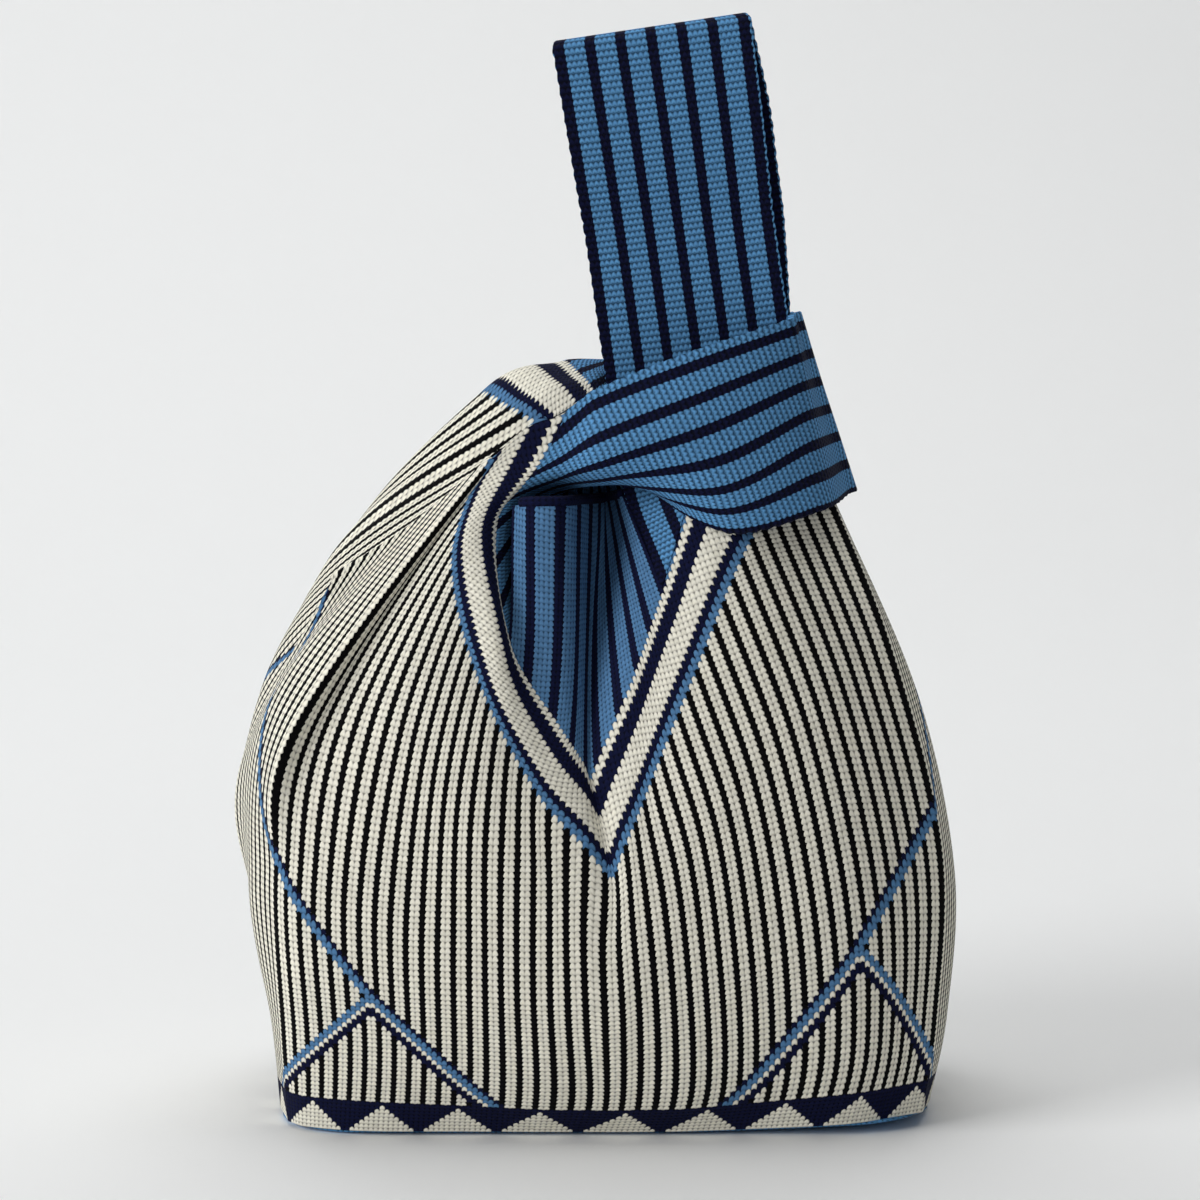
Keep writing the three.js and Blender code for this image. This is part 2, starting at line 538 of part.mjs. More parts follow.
// Long handle: the profile of its loop, folded at the top, carried across the strap's width
function longHandleLoop() {
  const half = LONG_LOOP_ROOM / 2;
  const middle = LONG_HANDLE_RISE * 0.55;
  const crown = LONG_LOOP_TOP / 2;
  const shoulder = LONG_HANDLE_RISE - CLOTH - crown;
  const slit = STRAND_SLIT / 2;
  const knots = [0, middle / 2, middle, shoulder];
  const depths = [slit, half * 0.6, half, crown].map((depth) => new THREE.Vector2(depth, 0));
  const side = steps(0, shoulder, 10).map((along) => {
    const depth = throughPoints(knots, depths, along).x;
    return new THREE.Vector2(Math.max(depth, slit), along);
  });
  const outer = side.map(({ x, y }) => new THREE.Vector2(x + CLOTH, y));
  const profile = new THREE.Shape();
  const foot = (turn) => [hingeRadius * Math.cos(turn), -hingeRadius * Math.sin(turn)];
  const footTurn = Math.acos(slit / hingeRadius);
  const path = [];
  path.push(...steps(footTurn, 0, 6).map(foot).map(([x, y]) => new THREE.Vector2(x, y)));
  path.push(...outer.slice(1));
  path.push(...steps(0, Math.PI, 8).slice(1, -1).map((turn) => new THREE.Vector2(
    (crown + CLOTH) * Math.cos(turn), shoulder + (crown + CLOTH) * Math.sin(turn))));
  path.push(...outer.slice(1).reverse().map(({ x, y }) => new THREE.Vector2(-x, y)));
  path.push(...steps(0, footTurn, 6).map(foot).map(([x, y]) => new THREE.Vector2(-x, y)));
  path.push(...side.map(({ x, y }) => new THREE.Vector2(-x, y)).slice(1));
  path.push(...steps(Math.PI, 0, 8).slice(1, -1).map((turn) => new THREE.Vector2(
    crown * Math.cos(turn), shoulder + crown * Math.sin(turn))));
  path.push(...side.slice(1).reverse());
  profile.setFromPoints(path);
  return new THREE.ExtrudeGeometry(profile, { depth: STRAP_WIDTH, bevelEnabled: false });
}
const longHandle = addPiece('long_handle_loop', longHandleLoop(), blue);
longHandle.matrixAutoUpdate = false;
longHandle.matrix.makeBasis(new THREE.Vector3(0, -1, 0), strapAlong, strapAcross.clone().negate());
longHandle.matrix.setPosition(onStrap(STRAP_WIDTH, 0, HINGE_RISE));

export default bag;
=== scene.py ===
"""A knitted knot bag, dressed: patterned knit for its panels and handles, plain knit for its base and hems.

Shapes are drawn in millimetres in the bag's own frame (+Z up, front towards -Y) and stored in metres.
The cloth is counted in wales, the columns of stitches, and courses, the rows of stitches.
"""

import math

import bmesh
import bpy
import numpy as np
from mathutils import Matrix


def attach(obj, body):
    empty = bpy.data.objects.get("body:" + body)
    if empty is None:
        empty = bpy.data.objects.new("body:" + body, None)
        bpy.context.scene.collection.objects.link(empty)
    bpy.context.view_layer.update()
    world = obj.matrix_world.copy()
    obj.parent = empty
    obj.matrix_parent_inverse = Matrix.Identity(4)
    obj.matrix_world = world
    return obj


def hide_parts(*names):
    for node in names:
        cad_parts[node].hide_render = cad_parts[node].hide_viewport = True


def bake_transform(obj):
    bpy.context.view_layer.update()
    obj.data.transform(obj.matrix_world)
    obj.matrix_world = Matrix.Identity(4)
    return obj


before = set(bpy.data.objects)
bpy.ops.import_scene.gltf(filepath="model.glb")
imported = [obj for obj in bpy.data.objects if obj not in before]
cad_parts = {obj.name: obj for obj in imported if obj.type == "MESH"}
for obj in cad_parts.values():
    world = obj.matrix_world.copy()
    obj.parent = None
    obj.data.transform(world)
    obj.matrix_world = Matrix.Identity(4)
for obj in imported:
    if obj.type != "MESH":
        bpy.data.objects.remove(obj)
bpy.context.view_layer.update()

MM = 0.001

# Sizes of the bag
HALF_WIDTH = 106
HALF_DEPTH = 56
BASE_CORNER = 26
CLOTH = 2.2
FOOT_HEIGHT = 1.8
FOOT_EASE = 0.05  # the cloth is gathered at the corners of the base
CORNER_LIFT = 4  # the right front corner stands off the table
CORNER_LIFT_FROM = 15
BASE_INSET = 0.6
BASE_THICKNESS = 2.0
STRAP_WIDTH = 61
STRAP_LEAN = math.radians(8.4)
STRAP_ROOT = (1, 237)
HINGE_RISE = 45  # fold line of the long handle, above its root
LONG_HANDLE_RISE = 68
LONG_TOP_FLARE = 0.05
LONG_TOP_ROUNDING = 0.05
LONG_LOOP_ROOM = 13
LONG_LOOP_TOP = 7
LONG_WIDEST = 0.55  # share of the rise where the loop is widest
LONG_SWELL = 0.6  # share of that width half way there
LONG_BLEND_HALF = 14
LONG_ROOT_DROP = 4
LONG_ROOT_DEPTH = 7
STRAND_DEPTH = 1.5
REAR_STRAND_SHIFT = 3.4
REAR_SHIFT_FADE = 3  # the shift fades over the last third of the rise
SHORT_FRONT_ACROSS = -4
SHORT_BACK_ACROSS = 4
SHORT_BLEND_ACROSS = (-1, 30)  # past the sewn ends
SHORT_LOOP_SIDE_ROOM = 1.5
SHORT_FOLD_HALF = 5
SEAM_RADIUS = 1.5
SEAM_INSET = 5.8
SIDE_SEAM_ROWS = (0.35, 3.1)
MOUTH_HEM_RADIUS = 1.9
MOUTH_HEM_END = 5
EDGE_ROLL = 1.3
# The front border rolls forward by this much round one wale
BORDER_ROLL = 7
BORDER_ROLL_WALE = -58
BORDER_ROLL_SPREAD = 20

# Flat cloth of one panel: knitted width from the middle, and length from the hem
PANEL_HALF = 174
STRAP_OUTER = 114
STRAP_INNER = 47
BORDER_TIP = 95
BORDER_SLOPE = 1.27
BORDER_HEIGHT = 36
ARMPIT = 178
MOUTH_LENGTH = 235
BORDER_FOOT = 4
BORDER_HEAD = 5

# Stitches
WALE = 1.75
COURSE = 1.85
STRAP_COURSE = 2.05
STRAP_SCALLOP = 0.6
SCALLOP_LENGTH = 4.5
STITCH_V = 0.6  # depth of the V that a stitch is drawn into, in courses
TIP_COURSES = 54
BORDER_COURSES = 16
HEM_COURSES = 8
LINE_DROP = 12
TENT_SUM = 77
TRIANGLE_PERIOD = 15
TRIANGLE_COURSES = 7
TRIANGLE_SHIFT = 2.5
SHORT_STRIPE_SHIFT = 1.3
# Period and width of the stripes, in wales
BODY_STRIPE = (3, 2)
BLUE_STRIPE = (6, 4)
# Courses of the border, from its foot: the blue edge, the cream band, and where the cream edge starts
BORDER_BLUE = (0, 2)
BORDER_CREAM = (4, 10)
BORDER_EDGE = 14
# How far the edges of a strap stripe bulge at each stitch, and how much narrower the stripe is
STRAP_BULGE = 0.2
STRAP_NARROWING = 0.15
# Length from the hem, and the course number there: the courses lie closer near the hem
COURSE_LENGTHS = [0, 12, 50, 100, 178, 240, 300, 360]
COURSE_NUMBERS = [0, 8, 32, 56, 88, 117, 144, 171]
# The courses on the right are drawn up, most of all half way up a wale, and wholly so from this wale on
RIGHT_DRAW = 15
RIGHT_DRAW_WALE = 80
MESH_STEP = 1.45

# Guide points of the front panel at rows 1 to 4 of each wale: low, belly, chest, border foot
FRONT_BODY = {
    -174: [(-108, 0, 26), (-117, 4, 66), (-121, 6, 108), (-89, -8, 174)],
    -144: [(-108, -28, 30), (-115, -24, 76), (-108, -22, 134), (-64, -17, 191)],
    -114: [(-103, -52, 33), (-105, -51, 84), (-99, -49, 131), (-37, -27, 214)],
    -104: [(-96, -57, 32), (-98, -56, 84), (-89, -43, 134), (-43, -29, 203)],
    -80: [(-75, -62, 30), (-76, -63, 80), (-67, -54, 134), (-48, -42, 180)],
    -47: [(-45, -65, 24), (-45, -69, 63), (-44, -66, 107), (-38, -56, 144)],
    -22: [(-20, -66, 19), (-21, -71, 50), (-21, -70, 84), (-21, -63, 113)],
    -8: [(-5, -64.5, 15), (-6, -71, 40), (-7, -72, 68), (-6.5, -66.6, 97)],
    0: [(3, -64, 14), (3, -71, 38), (2, -72, 63), (2, -67, 87)],
    8: [(11, -64.5, 15), (11, -71, 40), (9, -72, 69), (6.5, -66.6, 98)],
    22: [(26, -66, 19), (25, -71, 50), (21, -70, 86), (14, -62, 116)],
    47: [(50, -65, 25), (48, -69, 64), (41, -66, 107), (27, -57, 148)],
    80: [(82, -61, 32), (79, -63, 82), (66, -57, 137), (45, -44, 190)],
    114: [(106, -46, 36), (107, -46, 92), (90, -38, 158), (65, -16, 220)],
    144: [(111, -27, 34), (113, -24, 80), (101, -18, 137), (76, -10, 195)],
    174: [(111, 0, 30), (115, 0, 66), (108, 0, 112), (88, -4, 169)],
}
FRONT_HEAD = {
    -114: (-12, -23, 230), -104: (-20, -28, 214), -80: (-35, -31, 196), -47: (-31, -47, 158),
    -22: (-14, -54, 132), -8: (-8, -55, 122), 0: (-5, -55, 116), 8: (0, -54, 127), 22: (8.5, -52, 147),
    47: (18.5, -44, 175), 80: (35, -30, 218), 114: (63, -15, 235),
}
FRONT_MOUTH = {
    -47: (-29, -30, 200), -36: (-23, -36, 201), -24: (-13, -34, 201), -12: (-8, -18, 200),
    0: (-4, -6, 199), 22: (1, 0, 199), 47: (7, -16, 202),
}
# The back is the front mirrored, apart from the left shoulder, which stands higher there
BACK_SHOULDER = {
    -174: [(-108, 0, 26), (-117, 4, 66), (-121, 6, 108), (-89, -2, 173)],
    -144: [(-109, 28, 30), (-116, 28, 76), (-112, 20, 140), (-64, -9, 189)],
    -114: [(-105, 48, 34), (-108, 48, 92), (-97, 24, 168), (-19, -10, 225)],
    -104: [(-103, 55, 32), (-105, 55, 88), (-93, 36, 174), (-28, -4, 230)],
    -80: [(-81, 62, 30), (-84, 62, 82), (-81, 46, 174), (-41, 16, 231)],
    -47: [(-47, 65, 24), (-48, 69, 65), (-52, 63, 122), (-42, 50, 176)],
}
BACK_SHOULDER_HEAD = {
    -114: (-2, -8, 234), -104: (-6, 0, 239), -80: (-15, 20, 241), -47: (-27, 46, 198),
}
BACK_MOUTH = {
    -47: (-27, 30, 208), -22: (-16, 25, 207), 0: (-6, 22, 206), 22: (-1, 21, 206), 47: (7, 21, 205),
}
# Short handle, from its outer to its inner edge: depth, and height along the strap
SHORT_FRONT_START = [(-24, 0), (-37, -20), (-28, -29), (-14, -26)]
SHORT_BACK_START = [(16, 2), (24, 5), (33, -9), (32, -24)]
SHORT_FRONT_MIDDLE = [(-23, 8), (-34, -13.5), (-43, -34.5), (-49, -48)]
SHORT_BACK_MIDDLE = [(18, 9), (31, -4), (42, -20), (48, -39)]
SHORT_FRONT_SIDE = [(-13, 13), (-18, -6), (-26, -26), (-37, -47)]
SHORT_BACK_SIDE = [(17, 13), (26, -7), (33, -26), (43, -45)]
SHORT_FOLD_HEIGHT = [14, -6, -26, -46]
SHORT_FOLD_FLARE = [0, 3, 6.5, 10]
# How the front root is tucked behind the border on its way to the loop, from its outer to its inner edge
SHORT_FRONT_TUCK = [(0, 0, 0), (0, 4, 0), (-4, 22, 5), (-8, 30, 9)]

# Yarn colours, as they look in plain light
CREAM = (246, 242, 227)
NAVY = (15, 20, 52)
BLACK = (7, 6, 8)
# The straps are a brighter blue than the lines of the wall
BLUE = (97, 157, 210)
WALL_BLUE = (86, 130, 174)
PAPER = (244, 245, 245)


def linear(colour):
    """An sRGB colour of 0 to 255 as the linear RGBA that a socket holds."""
    shares = [value / 255 for value in colour]
    return [s / 12.92 if s <= 0.04045 else ((s + 0.055) / 1.055) ** 2.4 for s in shares] + [1]


def through_points(knots, values, at):
    """Smooth curve through values at knots, taken at each place in at."""
    knots = np.asarray(knots, float)
    values = np.asarray(values, float)
    at = np.asarray(at, float)
    last = len(knots) - 1
    before = np.maximum(np.arange(last + 1) - 1, 0)
    after = np.minimum(np.arange(last + 1) + 1, last)
    spread = (-1,) + (1,) * (values.ndim - 1)
    slopes = (values[after] - values[before]) / (knots[after] - knots[before]).reshape(spread)
    i = np.clip(np.searchsorted(knots, at, side="right") - 1, 0, last - 1)
    span = (knots[i + 1] - knots[i]).reshape(spread)
    t = (at - knots[i]).reshape(spread) / span
    return (
        values[i] * (2 * t**3 - 3 * t**2 + 1)
        + slopes[i] * (t**3 - 2 * t**2 + t) * span
        + values[i + 1] * (3 * t**2 - 2 * t**3)
        + slopes[i + 1] * (t**3 - t**2) * span
    )


def along_points(points, at):
    """The same curve with its points spaced by their distance; at counts points."""
    points = np.asarray(points, float)
    knots = np.concatenate([[0], np.cumsum(np.linalg.norm(np.diff(points, axis=0), axis=1))])
    return through_points(knots, points, np.interp(at, np.arange(len(points)), knots))


def on_strap(across, depth, along):
    """A point in the leaning frame of the long handle."""
    x = STRAP_ROOT[0] + across * math.cos(STRAP_LEAN) - along * math.sin(STRAP_LEAN)
    z = STRAP_ROOT[1] + across * math.sin(STRAP_LEAN) + along * math.cos(STRAP_LEAN)
    return np.array([x, depth, z])


def base_outline(share, inset=0):
    """The base's rounded rectangle, from the front middle towards +X, by share of its half length."""
    width = HALF_WIDTH - inset
    depth = HALF_DEPTH - inset
    corner = BASE_CORNER - inset
    flat = width - corner
    bend = math.pi / 2 * corner
    side = depth - corner
    walked = abs(share) * (flat + bend + side)
    x, y = walked, -depth
    if walked > flat + bend:
        x, y = width, -(side - (walked - flat - bend))
    elif walked > flat:
        turn = (walked - flat) / corner
        x, y = flat + corner * math.sin(turn), -side - corner * math.cos(turn)
    return math.copysign(x, share), y


def corner_lift(x, y):
    """How far the base's soft right front corner stands off the table."""
    right = np.clip((x - CORNER_LIFT_FROM) / (HALF_WIDTH - CORNER_LIFT_FROM), 0, 1)
    return CORNER_LIFT * right**1.5 * np.clip(-y / HALF_DEPTH, 0, 1)


def wale_length(u):
    """Length of the wale at u, from the hem to the border, or to the armhole edge."""
    place = np.abs(u)
    border = BORDER_TIP + BORDER_SLOPE * np.minimum(place, STRAP_OUTER)
    fall = (place - STRAP_OUTER) / (PANEL_HALF - STRAP_OUTER)
    return np.where(place <= STRAP_OUTER, border, border + (ARMPIT - border) * fall)


def mirrored(point):
    """The point on the other side of the bag, front to back."""
    return (point[0], -point[1], point[2])


class Panel:
    """One body panel, with its wales split at the two folds that run up to the handles."""

    def __init__(self, body, head, mouth, facing):
        self.facing = facing
        self.wales = sorted(body)
        self.columns = {}
        for u in self.wales:
            share = u / PANEL_HALF
            x, y = base_outline(share + FOOT_EASE * math.sin(math.pi * share))
            column = [(x, -facing * y, FOOT_HEIGHT + corner_lift(x, -facing * y)), *body[u]]
            if u in head:
                column.append(head[u])
            self.columns[u] = column
        self.mouth = mouth

    def at(self, us, rows):
        """Points for every wale in us at every row in rows; us stays on one side of each fold."""
        middle = np.mean(us)
        if middle < -STRAP_OUTER:
            group = [u for u in self.wales if u <= -STRAP_OUTER]
        elif middle > STRAP_OUTER:
            group = [u for u in self.wales if u >= STRAP_OUTER]
        else:
            group = [u for u in self.wales if abs(u) <= STRAP_OUTER]
        along = [through_points(range(len(self.columns[u])), self.columns[u], rows) for u in group]
        return through_points(group, along, us)

    def mouth_at(self, us):
        wales = sorted(self.mouth)
        return through_points(wales, [self.mouth[u] for u in wales], us)


front = Panel(FRONT_BODY, FRONT_HEAD, FRONT_MOUTH, -1)
back = Panel(
    {**{u: [mirrored(p) for p in points] for u, points in FRONT_BODY.items()}, **BACK_SHOULDER},
    {**{u: mirrored(p) for u, p in FRONT_HEAD.items()}, **BACK_SHOULDER_HEAD},
    BACK_MOUTH,
    1,
)


def new_piece(name, bm, material):
    """Turns a bmesh drawn in millimetres into a smooth-shaded object in metres."""
    bmesh.ops.scale(bm, vec=(MM, MM, MM), verts=bm.verts)
    mesh = bpy.data.meshes.new(name)
    bm.to_mesh(mesh)
    bm.free()
    mesh.polygons.foreach_set("use_smooth", [True] * len(mesh.polygons))
    mesh.materials.append(material)
    piece = bpy.data.objects.new(name, mesh)
    bpy.context.scene.collection.objects.link(piece)
    return piece


def add_region(bm, points, stitches):
    """Lays a grid over points[i, j], with its place in stitches as the UV map that the yarns follow."""
    across, up = points.shape[:2]
    grid = bmesh.ops.create_grid(bm, x_segments=across - 1, y_segments=up - 1, size=1)
    uv = bm.loops.layers.uv.get("stitches") or bm.loops.layers.uv.new("stitches")
    place = {}
    for vert in grid["verts"]:
        i = round((vert.co.x + 1) / 2 * (across - 1))
        j = round((vert.co.y + 1) / 2 * (up - 1))
        place[vert] = stitches[i, j]
        vert.co = points[i, j]
    for face in {face for vert in grid["verts"] for face in vert.link_faces}:
        for loop in face.loops:
            loop[uv].uv = place[loop.vert]


def even(low, high, step=MESH_STEP):
    """Evenly spaced places from low to high, about a step apart."""
    return np.linspace(low, high, max(2, round(abs(high - low) / step)) + 1)


def courses_at(us, lengths):
    """Course count at a length from the hem, set so that the border climbs one course for each wale."""
    border = np.interp(BORDER_TIP + BORDER_SLOPE * np.abs(us), COURSE_LENGTHS, COURSE_NUMBERS)
    hem = COURSE_LENGTHS[1]
    share = np.clip((lengths - hem) / (wale_length(us) - hem), 0, 1)
    lengths = lengths - RIGHT_DRAW * np.clip(us / RIGHT_DRAW_WALE, 0, 1) * 4 * share * (1 - share)
    return np.interp(lengths, COURSE_LENGTHS, COURSE_NUMBERS) * (TIP_COURSES + np.abs(us) / WALE) / border


def wall_stitches(us, rows, points):
    """Wale and course numbers of the wall; the courses are counted along the cloth as it lies."""
    steps = np.linalg.norm(np.diff(points, axis=1), axis=2)
    walked = np.concatenate([np.zeros((len(us), 1)), np.cumsum(steps, axis=1)], axis=1)
    to_border = walked[:, [np.searchsorted(rows, BORDER_FOOT)]]
    lengths = np.minimum(walked / to_border, 1) * wale_length(us)[:, None]
    courses = courses_at(us[:, None], lengths)
    if rows[-1] > BORDER_FOOT:
        courses += BORDER_COURSES * np.maximum(walked - to_border, 0) / (walked[:, [-1]] - to_border)
    wales = np.repeat(us[:, None] / WALE, len(rows), axis=1)
    return np.stack([wales, courses], axis=2)


BODY_ROWS = np.linspace(0, BORDER_FOOT, 121)
BORDER_ROWS = np.concatenate([BODY_ROWS, np.linspace(BORDER_FOOT, BORDER_HEAD, 19)[1:]])
YOKE_US = even(-STRAP_INNER, STRAP_INNER)
CENTRE_US = np.concatenate([
    even(-STRAP_OUTER, -STRAP_INNER)[:-1], YOKE_US, even(STRAP_INNER, STRAP_OUTER)[1:],
])


def yoke_points(panel):
    """The yoke: each wale goes on from the border's head to the mouth."""
    low, high = (panel.at(YOKE_US, [row])[:, 0] for row in (BORDER_FOOT, BORDER_HEAD))
    mouth = panel.mouth_at(YOKE_US)
    places = np.linspace(1, 2, 48)
    points = np.array([along_points(line, places) for line in zip(low, high, mouth)])
    head_courses = courses_at(YOKE_US, wale_length(YOKE_US)) + BORDER_COURSES
    mouth_courses = head_courses + (MOUTH_LENGTH - BORDER_HEIGHT - wale_length(YOKE_US)) / COURSE
    courses = head_courses[:, None] + (mouth_courses - head_courses)[:, None] * (places - 1)[None, :]
    wales = np.repeat(YOKE_US[:, None] / WALE, len(places), axis=1)
    return points, np.stack([wales, courses], axis=2)


def thicken(piece):
    """Gives a sheet its thickness and soft edges."""
    solid = piece.modifiers.new("cloth_thickness", "SOLIDIFY")
    solid.thickness = CLOTH * MM
    solid.offset = 0
    edge = piece.modifiers.new("soft_edge", "BEVEL")
    edge.width = CLOTH * 0.3 * MM
    edge.segments = 2
    edge.limit_method = "ANGLE"
    edge.angle_limit = math.radians(60)


def side_region(panel, us):
    """One side of a panel, with its armhole edge rolled inwards."""
    points = panel.at(us, BODY_ROWS)
    stitches = wall_stitches(us, BODY_ROWS, points)
    up = points[:, -1] - points[:, -2]
    up /= np.linalg.norm(up, axis=1)[:, None]
    along = np.gradient(points[:, -1], axis=0)
    inward = np.cross(up, along)
    inward *= np.sign(inward[:, 1:2] * -panel.facing)
    inward /= np.linalg.norm(inward, axis=1)[:, None]
    for turn in np.linspace(0, math.pi, 9)[1:]:
        roll = math.sin(turn) * up + (1 - math.cos(turn)) * inward
        edge = points[:, len(BODY_ROWS) - 1] + EDGE_ROLL * roll
        points = np.concatenate([points, edge[:, None]], axis=1)
        next_course = stitches[:, len(BODY_ROWS) - 1] + [0, turn * EDGE_ROLL / COURSE]
        stitches = np.concatenate([stitches, next_course[:, None]], axis=1)
    return points, stitches


def middle_region(panel):
    """The middle of a panel up to the head of its V border, which rolls forward on the slack side."""
    points = panel.at(CENTRE_US, BORDER_ROWS)
    stitches = wall_stitches(CENTRE_US, BORDER_ROWS, points)
    if panel is front:
        slack = np.exp(-(((CENTRE_US - BORDER_ROLL_WALE) / BORDER_ROLL_SPREAD) ** 2))
        rise = np.sin(np.pi * np.clip(BORDER_ROWS - BORDER_FOOT, 0, 1))
        points = points + BORDER_ROLL * slack[:, None, None] * rise[None, :, None] * np.array([0.5, -0.8, 0])
    return points, stitches


def panel_cloth(name, panel, material):
    """The cloth of one panel: both sides, the middle with its V border, and the yoke inside the V."""
    bm = bmesh.new()
    for us in (even(-PANEL_HALF, -STRAP_OUTER), even(STRAP_OUTER, PANEL_HALF)):
        add_region(bm, *side_region(panel, us))
    add_region(bm, *middle_region(panel))
    add_region(bm, *yoke_points(panel))
    bmesh.ops.remove_doubles(bm, verts=bm.verts, dist=0.01)
    if panel.facing > 0:
        bmesh.ops.reverse_faces(bm, faces=bm.faces)
    piece = new_piece(name, bm, material)
    thicken(piece)
    return piece


def strap_cloth(name, stations, us, material, stripe_shift=0):
    """A handle: stations[k, i] is where each wale passes its k-th guide line; its ends lie on the borders."""
    spans = np.linalg.norm(np.diff(stations, axis=0), axis=2).mean(axis=1)[1:-1]
    places = [np.array([1.0])]
    for k, span in enumerate(spans):
        places.append(1 + k + even(0, 1, MESH_STEP / span)[1:])
    places = np.concatenate(places)
    points = np.array([along_points(stations[:, i], places) for i in range(len(us))])
    steps = np.linalg.norm(np.diff(points, axis=1), axis=2)
    courses = np.concatenate([np.zeros((len(us), 1)), np.cumsum(steps, axis=1)], axis=1) / STRAP_COURSE
    courses -= courses[:, [len(places) // 2]]
    scallop = STRAP_SCALLOP * np.abs(np.sin(math.pi * courses * STRAP_COURSE / SCALLOP_LENGTH))
    for edge, inside in ((0, 1), (-1, -2)):
        out = points[edge] - points[inside]
        points[edge] += out / np.linalg.norm(out, axis=1)[:, None] * scallop[edge][:, None]
    wales = np.repeat((np.abs(us)[:, None] - STRAP_INNER) / WALE + stripe_shift, len(places), axis=1)
    bm = bmesh.new()
    add_region(bm, points, np.stack([wales, courses], axis=2))
    piece = new_piece(name, bm, material)
    thicken(piece)
    return piece


def across_handle(lines, us):
    """Points between the outer and the inner edge of a handle, from the four lines that are given."""
    share = (STRAP_OUTER - np.abs(us)) / (STRAP_OUTER - STRAP_INNER)
    return through_points([0, 1, 2, 3], lines, 3 * share)


def short_stations(us):
    """Guide lines of the short handle, from the front border round the right fold to the back border."""
    def lines(table, across):
        return across_handle([on_strap(a, *line) for a, line in zip(across, table)], us)

    stations = [front.at(us, [row])[:, 0] for row in (BORDER_FOOT, BORDER_HEAD)]
    start = lines(SHORT_FRONT_START, [SHORT_FRONT_ACROSS] * 4)
    stations += [(stations[-1] + start) / 2 + across_handle(SHORT_FRONT_TUCK, us), start]
    stations.append(lines(SHORT_FRONT_MIDDLE, [STRAP_WIDTH / 2] * 4))
    stations.append(lines(SHORT_FRONT_SIDE, [STRAP_WIDTH] * 4))
    for turn in (-1, 0, 1):
        fold = [(turn * SHORT_FOLD_HALF, height) for height in SHORT_FOLD_HEIGHT]
        reach = STRAP_WIDTH + SHORT_LOOP_SIDE_ROOM + (0 if turn else SHORT_FOLD_HALF / 2)
        stations.append(lines(fold, [reach + flare for flare in SHORT_FOLD_FLARE]))
    stations.append(lines(SHORT_BACK_SIDE, [STRAP_WIDTH] * 4))
    stations.append(lines(SHORT_BACK_MIDDLE, [STRAP_WIDTH / 2] * 4))
    stations.append(lines(SHORT_BACK_START, [SHORT_BACK_ACROSS] * 4))
    stations += [back.at(us, [row])[:, 0] for row in (BORDER_HEAD, BORDER_FOOT)]
    return np.array(stations)


def long_stations(us):
    """Guide lines of the long handle, from the front border up, over its top fold, and down to the back."""
    across = STRAP_WIDTH * (us - STRAP_INNER) / (STRAP_OUTER - STRAP_INNER)
    half = LONG_LOOP_ROOM / 2 + CLOTH / 2
    crown = LONG_LOOP_TOP / 2 + CLOTH / 2
    shoulder = LONG_HANDLE_RISE - crown - CLOTH / 2
    middle = LONG_WIDEST * LONG_HANDLE_RISE
    slant = crown * math.sqrt(0.5)
    rises = [
        (STRAND_DEPTH, HINGE_RISE), (LONG_SWELL * half, HINGE_RISE + middle / 2),
        (half, HINGE_RISE + middle), (crown, HINGE_RISE + shoulder),
        (slant, HINGE_RISE + shoulder + slant),
    ]

    def strand(panel):
        lower = panel.mouth_at([STRAP_INNER])[0]
        outer = on_strap(STRAP_WIDTH, lower[1], -LONG_ROOT_DROP)
        share = (across / STRAP_WIDTH)[:, None]
        shift = REAR_STRAND_SHIFT if panel is back else 0
        found = [panel.at(us, [row])[:, 0] for row in (BORDER_FOOT, BORDER_HEAD)]
        found.append(lower + (outer - lower) * share)
        found.append(np.array([on_strap(a, panel.facing * LONG_ROOT_DEPTH, 0) for a in across]))
        for depth, along in rises:
            share = (along - HINGE_RISE) / LONG_HANDLE_RISE
            flare = LONG_TOP_FLARE * share * (across - STRAP_WIDTH / 2)
            wide = across + flare + shift * min(1, REAR_SHIFT_FADE * (1 - share))
            found.append(np.array([on_strap(a, panel.facing * depth, along) for a in wide]))
        return found

    top = HINGE_RISE + shoulder + crown
    wide = across + (LONG_TOP_FLARE - LONG_TOP_ROUNDING) * (across - STRAP_WIDTH / 2)
    return np.array([*strand(front), [on_strap(a, 0, top) for a in wide], *reversed(strand(back))])


def rolled_edge(name, line, radius, material, closed=False):
    """A round seam or hem along a line of points."""
    line = np.asarray(line, float)
    if closed:
        line = np.concatenate([line, line[:1]])
    tangent = np.gradient(line, axis=0)
    if closed:
        tangent[0] = tangent[-1] = line[1] - line[-2]
    tangent /= np.linalg.norm(tangent, axis=1)[:, None]
    steep = np.abs(tangent[:, 2:]) > 0.8
    reference = np.where(steep, [[1.0, 0, 0]], [[0, 0, 1.0]])
    out = np.cross(reference, tangent)
    out /= np.linalg.norm(out, axis=1)[:, None]
    lift = np.cross(tangent, out)
    turns = np.linspace(0, 2 * math.pi, 13)
    points = np.array([line + radius * (out * math.cos(t) + lift * math.sin(t)) for t in turns])
    lengths = np.concatenate([[0], np.cumsum(np.linalg.norm(np.diff(line, axis=0), axis=1))])
    wales = np.repeat((turns * radius / WALE)[:, None], len(line), axis=1)
    courses = np.repeat((lengths / COURSE)[None, :], len(turns), axis=0)
    bm = bmesh.new()
    add_region(bm, points, np.stack([wales, courses], axis=2))
    bmesh.ops.remove_doubles(bm, verts=bm.verts, dist=0.01)
    if not closed:
        bmesh.ops.holes_fill(bm, edges=[edge for edge in bm.edges if edge.is_boundary], sides=0)
    bmesh.ops.recalc_face_normals(bm, faces=bm.faces)
    return new_piece(name, bm, material)


